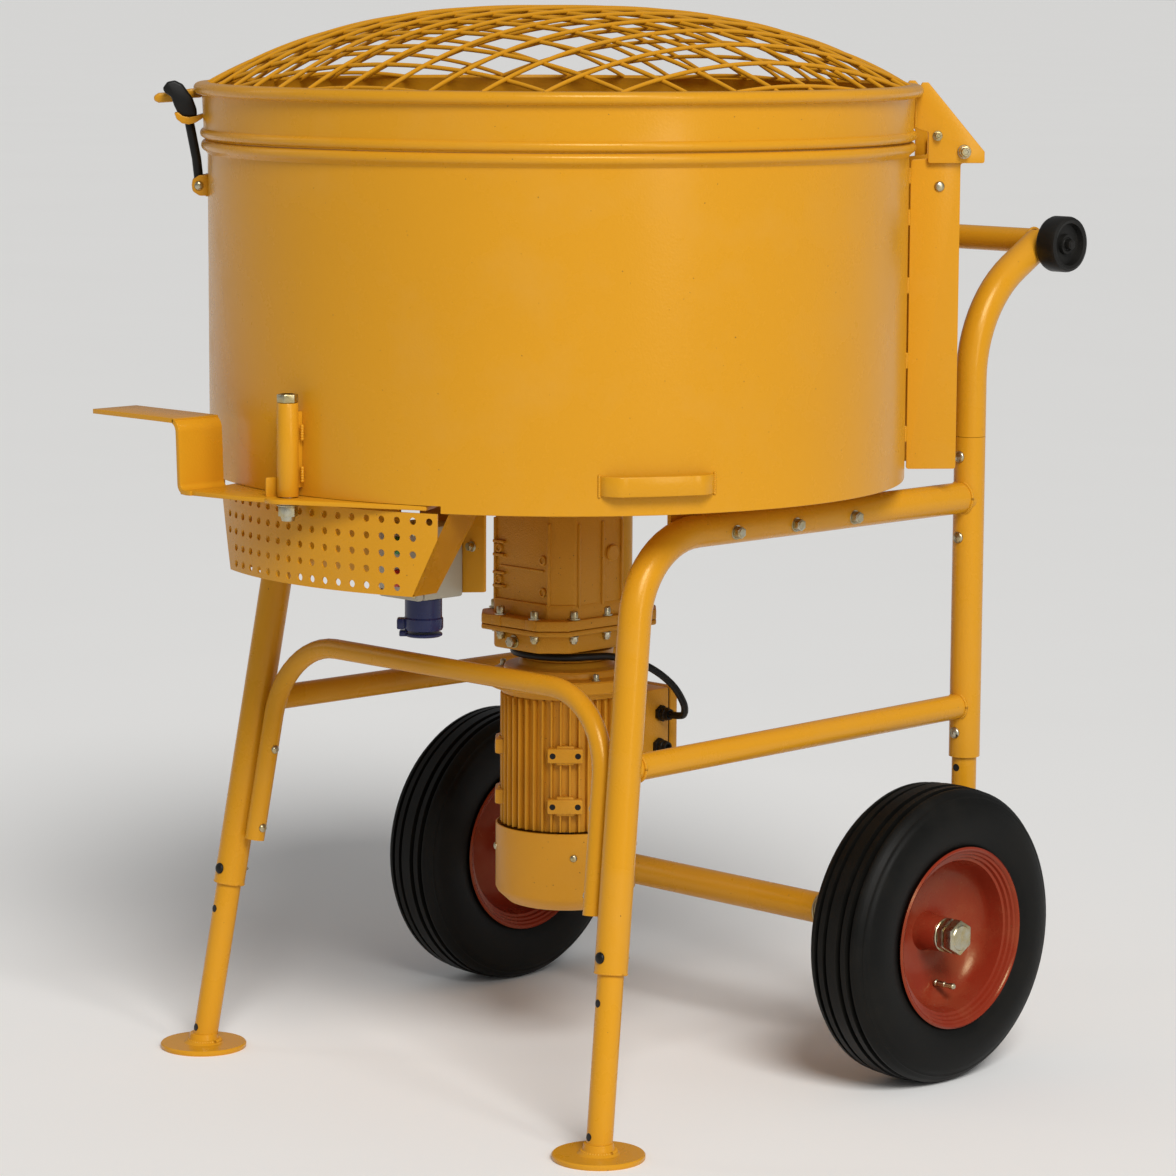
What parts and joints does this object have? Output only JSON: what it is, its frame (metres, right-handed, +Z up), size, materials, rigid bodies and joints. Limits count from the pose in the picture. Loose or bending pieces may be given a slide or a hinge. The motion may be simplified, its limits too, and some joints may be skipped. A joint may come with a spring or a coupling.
{
  "type": "forced-action concrete mixer",
  "caption": "Wheeled mortar and concrete pan mixer: cylindrical drum with hinged grille lid, driven paddles, underslung gear motor, discharge gate, tube frame with push handle.",
  "frame": {"origin": "centre of the bounding box's footprint, on the ground under the feet and wheels", "axes": "+Z up; +Y to the rear, where the wheels and the push handle are; +X completes a right-handed frame, and the lid's hinge is on the +X +Y side"},
  "size_m": [0.962, 1.166, 1.4278],
  "materials": {
    "yellow_paint": "semi-gloss powder coat, light orange peel",
    "cast_paint": "sprayed casting, satin",
    "cast_aluminium_paint": "sprayed ribbed casting, satin",
    "red_paint": "gloss stove enamel",
    "tyre_rubber": "ribbed pneumatic tyre",
    "black_rubber": "moulded rubber, slight sheen",
    "zinc_steel": "yellow-passivated zinc plating",
    "bare_steel": "worn bare steel",
    "winding": "laminations with varnished copper windings",
    "grey_plastic": "textured grey enclosure",
    "blue_plastic": "moulded blue inlet",
    "green_plastic": "moulded button cap",
    "red_plastic": "moulded button cap",
    "black_plastic": "moulded fan"
  },
  "bodies": {
    "frame": {"leg_rail_left": "yellow_paint", "leg_rail_right": "yellow_paint", "rear_post_left": "yellow_paint", "rear_post_right": "yellow_paint", "lower_rail_left": "yellow_paint", "lower_rail_right": "yellow_paint", "front_hoop": "yellow_paint", "drum_mount_left": "yellow_paint", "drum_mount_right": "yellow_paint", "handle_tube_left": "yellow_paint", "handle_tube_right": "yellow_paint", "handle_crossbar": "yellow_paint", "drum_shell": "yellow_paint", "drum_floor": "yellow_paint", "hinge_column": "yellow_paint", "gate_pivot_tube": "yellow_paint", "gate_pivot_bolt": "zinc_steel", "outlet_guard": "yellow_paint", "latch_lug": "yellow_paint", "gear_housing": "cast_paint", "gear_base": "cast_paint", "motor_housing": "cast_aluminium_paint", "stator": "winding", "fan_cowl": "cast_aluminium_paint", "terminal_box": "cast_aluminium_paint", "motor_lead": "black_rubber", "switch_bracket": "yellow_paint", "switch_box": "grey_plastic", "power_inlet": "blue_plastic"},
    "rotor": {"rotor_shaft": "bare_steel", "output_gear": "bare_steel", "rotor_hub": "bare_steel", "mixing_arm_1": "yellow_paint", "mixing_arm_2": "yellow_paint", "mixing_arm_3": "yellow_paint", "paddle_1": "bare_steel", "paddle_2": "bare_steel", "paddle_3": "bare_steel", "wall_scraper": "bare_steel"},
    "countershaft": {"countershaft": "bare_steel"},
    "motor_rotor": {"motor_shaft": "bare_steel", "cooling_fan": "black_plastic"},
    "lid": {"lid_ring": "yellow_paint", "lid_grille": "yellow_paint", "lid_hinge_bracket": "yellow_paint", "lid_catch": "yellow_paint"},
    "latch": {"latch_strap": "black_rubber"},
    "gate": {"discharge_gate": "yellow_paint"},
    "axle": {"axle_carrier": "yellow_paint"},
    "wheel_left": {"tyre_left": "tyre_rubber", "wheel_rim_left": "red_paint"},
    "wheel_right": {"tyre_right": "tyre_rubber", "wheel_rim_right": "red_paint"},
    "roller_left": {"handle_roller_left": "black_rubber"},
    "roller_right": {"handle_roller_right": "black_rubber"},
    "foot_left": {"leg_foot_left": "yellow_paint"},
    "foot_right": {"leg_foot_right": "yellow_paint"},
    "start_button": {"start_button": "green_plastic"},
    "stop_button": {"stop_button": "red_plastic"},
    "inlet_flap": {"inlet_flap": "blue_plastic"}
  },
  "joints": [
    {"name": "rotor_spin", "type": "hinge", "parent": "frame", "child": "rotor", "pos_m": [0, -0.048, 0.8], "axis": [0, 0, 1], "continuous": true},
    {"name": "countershaft_spin", "type": "hinge", "parent": "frame", "child": "countershaft", "pos_m": [0, 0.00275, 0.68], "axis": [0, 0, 1], "continuous": true},
    {"name": "motor_spin", "type": "hinge", "parent": "frame", "child": "motor_rotor", "pos_m": [0, -0.02925, 0.42], "axis": [0, 0, 1], "continuous": true},
    {"name": "lid_hinge", "type": "hinge", "parent": "frame", "child": "lid", "pos_m": [0.34261, 0.3603, 1.237], "axis": [-0.766, 0.6428, 0], "range_deg": [0, 100]},
    {"name": "latch_swing", "type": "hinge", "parent": "frame", "child": "latch", "pos_m": [-0.305, -0.41149, 1.1905], "axis": [0.766, -0.6428, 0], "range_deg": [0, 110]},
    {"name": "gate_swing", "type": "hinge", "parent": "frame", "child": "gate", "pos_m": [0.012, -0.533, 0.8117], "axis": [0, 0, 1], "range_deg": [0, 100]},
    {"name": "axle_height", "type": "slide", "parent": "frame", "child": "axle", "axis": [0, 0, 1], "range_m": [0, 0.05]},
    {"name": "wheel_left_spin", "type": "hinge", "parent": "axle", "child": "wheel_left", "pos_m": [-0.412, 0.252, 0.2], "axis": [1, 0, 0], "continuous": true},
    {"name": "wheel_right_spin", "type": "hinge", "parent": "axle", "child": "wheel_right", "pos_m": [0.412, 0.252, 0.2], "axis": [1, 0, 0], "continuous": true},
    {"name": "roller_left_spin", "type": "hinge", "parent": "frame", "child": "roller_left", "pos_m": [-0.373, 0.545, 1.106], "axis": [1, 0, 0], "continuous": true},
    {"name": "roller_right_spin", "type": "hinge", "parent": "frame", "child": "roller_right", "pos_m": [0.373, 0.545, 1.106], "axis": [1, 0, 0], "continuous": true},
    {"name": "foot_left_height", "type": "slide", "parent": "frame", "child": "foot_left", "axis": [0.0656, 0.1528, 0.9861], "range_m": [0, 0.2]},
    {"name": "foot_right_height", "type": "slide", "parent": "frame", "child": "foot_right", "axis": [-0.0656, 0.1528, 0.9861], "range_m": [0, 0.2]},
    {"name": "start_press", "type": "slide", "parent": "frame", "child": "start_button", "axis": [0, 1, 0], "range_m": [0, 0.003], "stiffness_N_per_m": 1000, "springref_m": -0.001},
    {"name": "stop_press", "type": "slide", "parent": "frame", "child": "stop_button", "axis": [0, 1, 0], "range_m": [0, 0.003], "stiffness_N_per_m": 1000, "springref_m": -0.001},
    {"name": "inlet_flap_hinge", "type": "hinge", "parent": "frame", "child": "inlet_flap", "pos_m": [0.03937, -0.37063, 0.6328], "axis": [-0.7071, 0.7071, 0], "range_deg": [0, 110], "stiffness_Nm_per_rad": 0.01, "springref_deg": -57.3}
  ],
  "couplings": [
    {"joint": "countershaft_spin", "follows": "rotor_spin", "ratio": -6.25},
    {"joint": "motor_spin", "follows": "rotor_spin", "ratio": 43.75}
  ]
}
